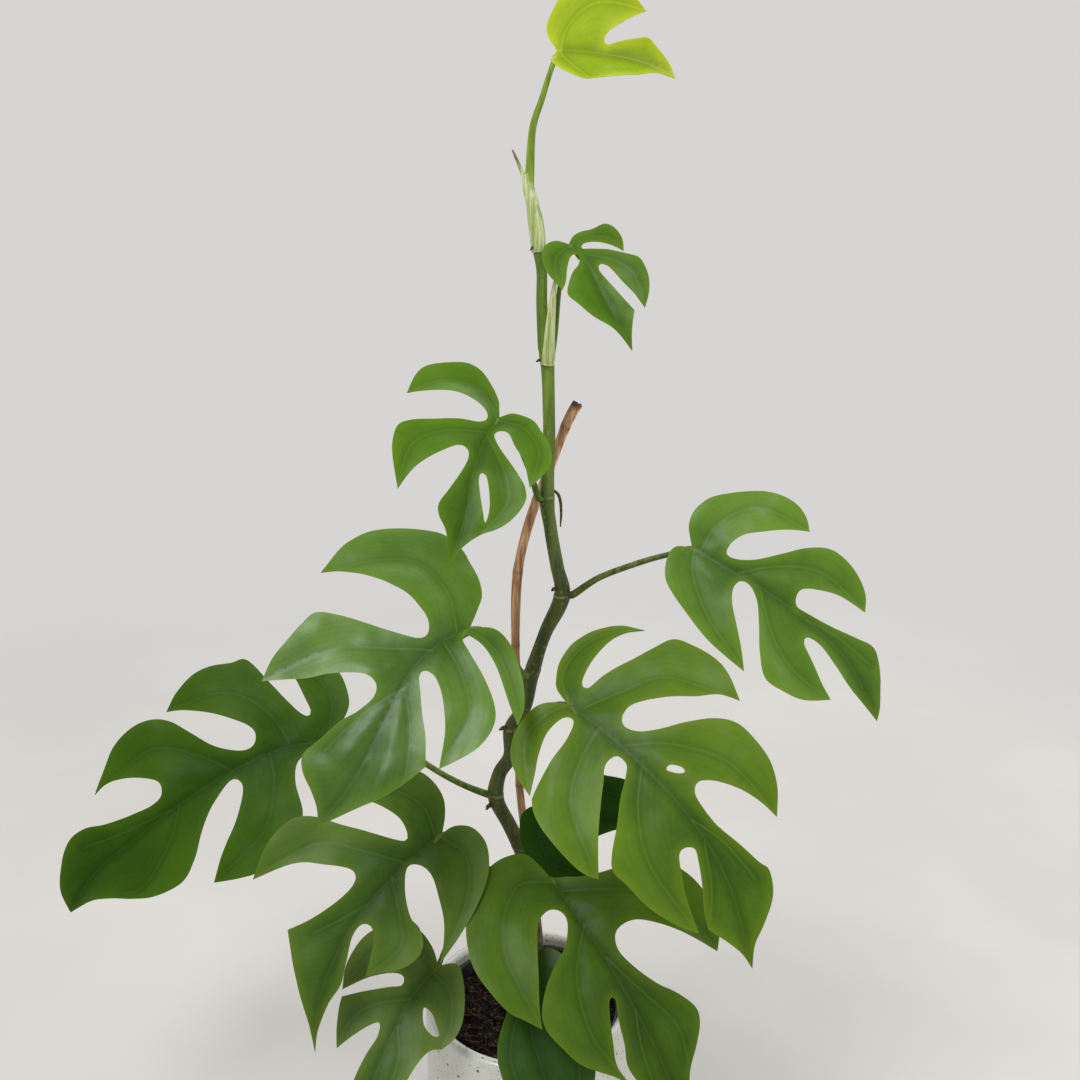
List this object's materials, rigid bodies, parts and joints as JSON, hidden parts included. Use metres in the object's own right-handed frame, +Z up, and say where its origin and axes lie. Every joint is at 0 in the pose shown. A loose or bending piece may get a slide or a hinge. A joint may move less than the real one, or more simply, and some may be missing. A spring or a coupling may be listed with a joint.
{
  "type": "potted mini monstera plant",
  "caption": "Climbing mini monstera with slit leaves on an angular stem beside a dry cane, in a speckled white ceramic cover pot.",
  "frame": {"origin": "centre of the cover pot's underside", "axes": "+Z up along the pot's axis; the leaves face -Y; +X to the right seen from the front"},
  "size_m": [0.4917, 0.2077, 0.7099],
  "materials": {
    "ceramic": "satin",
    "liner": "matte",
    "soil": "matte",
    "stem": "satin",
    "stalk": "satin",
    "dry_wood": "matte",
    "root": "matte",
    "sheath": "satin",
    "leaf": "satin",
    "young_leaf": "satin"
  },
  "bodies": {
    "root": {"cover_pot": "ceramic", "nursery_pot": "liner", "soil": "soil", "main_stem": "stem", "dry_cane": "dry_wood", "aerial_root": "root", "bud_tip": "root", "sheath_top": "sheath", "sheath_mid": "sheath", "leaf_01": "young_leaf", "leaf_02": "leaf", "leaf_03": "leaf", "leaf_04": "leaf", "leaf_05": "leaf", "leaf_06": "leaf", "leaf_07": "leaf", "leaf_08": "leaf", "leaf_09": "leaf", "leaf_10": "leaf", "leaf_11": "leaf", "leaf_12": "leaf", "stalk_01": "stalk", "stalk_02": "stalk", "stalk_03": "stalk", "stalk_04": "stalk", "stalk_05": "stalk", "stalk_06": "stalk", "stalk_07": "stalk", "stalk_08": "stalk", "stalk_09": "stalk", "stalk_10": "stalk", "stalk_11": "stalk", "stalk_12": "stalk"}
  },
  "joints": []
}
